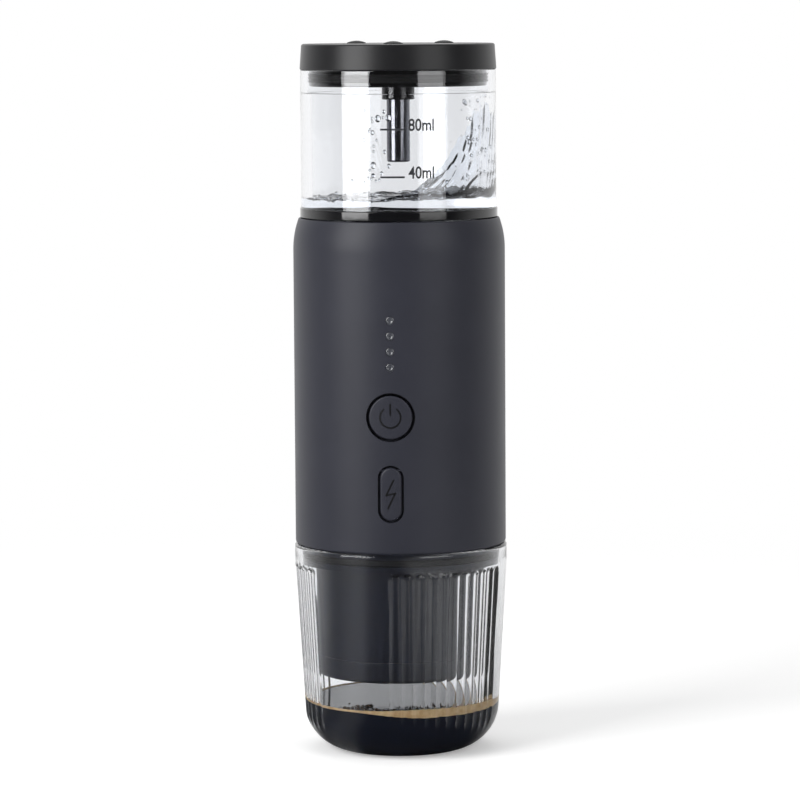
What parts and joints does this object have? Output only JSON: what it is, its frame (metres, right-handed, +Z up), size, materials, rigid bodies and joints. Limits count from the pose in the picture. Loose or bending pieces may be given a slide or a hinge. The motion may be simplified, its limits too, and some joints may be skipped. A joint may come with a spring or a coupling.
{
  "type": "portable espresso maker",
  "caption": "Upright battery espresso maker: lidded clear water tank, dark body with button, lights and charging port, brew head inside a clear fluted cup.",
  "frame": {"origin": "on the table under the cup, at the common axis of cup, body and tank", "axes": "+Z up along the axis from cup to lid; the button, lights and charging port face -Y"},
  "size_m": [0.0714, 0.0714, 0.2379],
  "materials": {
    "charcoal_plastic": "fine matt",
    "gloss_black_plastic": "polished",
    "black_plastic": "satin",
    "clear_plastic": "clear, polished",
    "black_silicone": "matt",
    "clear_silicone": "milky",
    "dark_chrome": "polished, dark plated",
    "steel": "brushed",
    "frame_plastic": "moulded",
    "white_plastic": "moulded",
    "light_guide_plastic": "frosted ends",
    "board_laminate": "green lacquer",
    "cell_wrap": "shrink wrap"
  },
  "bodies": {
    "cup": {"drinking_cup": "clear_plastic"},
    "tank": {"water_tank": "clear_plastic", "tank_base": "clear_plastic", "tank_collar": "gloss_black_plastic", "tank_strainer": "steel"},
    "lid": {"lid_cap": "charcoal_plastic", "lid_feet": "black_silicone", "lid_plug": "gloss_black_plastic", "lid_seal": "black_silicone", "breather_tube": "dark_chrome"},
    "brew_head": {"brew_head_shell": "black_plastic", "filter_basket": "steel", "nozzle_cap": "black_plastic"},
    "button": {"power_button": "charcoal_plastic", "switch_plunger": "white_plastic"},
    "charging_cover": {"port_cover": "black_silicone"},
    "pump_drive": {"drive_shaft": "steel", "drive_gear": "white_plastic"},
    "pump_idler": {"idler_shaft": "steel", "idler_gear": "white_plastic"},
    "machine": {"body_shell": "charcoal_plastic", "group_housing": "black_plastic", "cup_grip_ring": "black_silicone", "group_gasket": "black_silicone", "shower_screen": "steel", "shower_screw": "steel", "tank_gasket": "black_silicone", "top_deck": "black_plastic", "deck_screws": "steel", "switch_body": "black_plastic", "light_guide": "light_guide_plastic", "led_chips": "white_plastic", "usb_socket": "steel", "control_board": "board_laminate", "board_screws": "steel", "inner_chassis": "frame_plastic", "chassis_screws": "steel", "battery_cells": "cell_wrap", "motor_can": "steel", "motor_end_cap": "white_plastic", "pump_body": "white_plastic", "pump_cover": "white_plastic", "shaft_seal": "black_silicone", "pump_screws": "steel", "suction_hose": "clear_silicone", "pressure_hose": "clear_silicone"}
  },
  "joints": [
    {"name": "machine_lift", "type": "slide", "parent": "cup", "child": "machine", "axis": [0, 0, 1], "range_m": [0, 0.1]},
    {"name": "tank_twist", "type": "hinge", "parent": "machine", "child": "tank", "pos_m": [0, 0, 0.18], "axis": [0, 0, 1], "range_deg": [0, 45]},
    {"name": "lid_lift", "type": "slide", "parent": "tank", "child": "lid", "axis": [0, 0, 1], "range_m": [0, 0.06]},
    {"name": "brew_head_twist", "type": "hinge", "parent": "machine", "child": "brew_head", "pos_m": [0, 0, 0.066], "axis": [0, 0, -1], "range_deg": [0, 45]},
    {"name": "button_press", "type": "slide", "parent": "machine", "child": "button", "axis": [0, 1, 0], "range_m": [0, 0.0008], "stiffness_N_per_m": 600, "springref_m": -0.002},
    {"name": "charging_cover_swing", "type": "hinge", "parent": "machine", "child": "charging_cover", "pos_m": [0, -0.03435, 0.09805], "axis": [-1, 0, 0], "range_deg": [0, 75]},
    {"name": "motor_spin", "type": "hinge", "parent": "machine", "child": "pump_drive", "pos_m": [0, -0.00218, 0.098], "axis": [0, 0, 1], "continuous": true},
    {"name": "idler_spin", "type": "hinge", "parent": "machine", "child": "pump_idler", "pos_m": [0, -0.00938, 0.098], "axis": [0, 0, 1], "continuous": true}
  ],
  "couplings": [
    {"joint": "idler_spin", "follows": "motor_spin", "ratio": -1}
  ]
}
